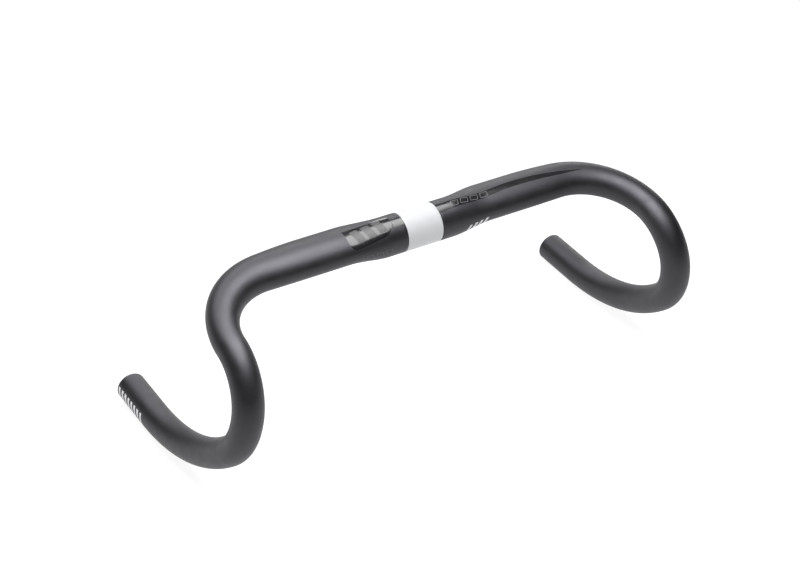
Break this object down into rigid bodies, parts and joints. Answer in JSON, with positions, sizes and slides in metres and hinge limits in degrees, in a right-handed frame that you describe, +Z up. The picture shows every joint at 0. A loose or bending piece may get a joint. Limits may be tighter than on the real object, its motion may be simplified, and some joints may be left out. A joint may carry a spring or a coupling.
{
  "type": "bicycle drop handlebar",
  "caption": "Bare drop handlebar with a round stem clamp zone, flattened wing tops and flared compact hooks, with a thin clamp band and printed marks.",
  "frame": {"origin": "middle of the round stem clamp zone, on its axis", "axes": "+X along the clamp axis to the rider's left, -Y forward in the direction of reach, +Z up with the drop ends level"},
  "size_m": [0.4362, 0.1881, 0.1664],
  "materials": {
    "tube": "satin charcoal black",
    "band": "matt white",
    "gloss_film": "gloss black film",
    "pale_print": "mid grey satin print",
    "grey_print": "dark grey satin print",
    "white_print": "white satin print"
  },
  "bodies": {
    "root": {"handlebar_tube": "tube", "clamp_band": "band", "badge_panel": "gloss_film", "badge_bars": "pale_print", "top_stripe": "gloss_film", "stripe_link": "gloss_film", "stripe_outlines": "grey_print", "front_outlines": "grey_print", "front_bars": "white_print", "drop_bars_left": "white_print", "drop_bars_right": "white_print"}
  },
  "joints": []
}
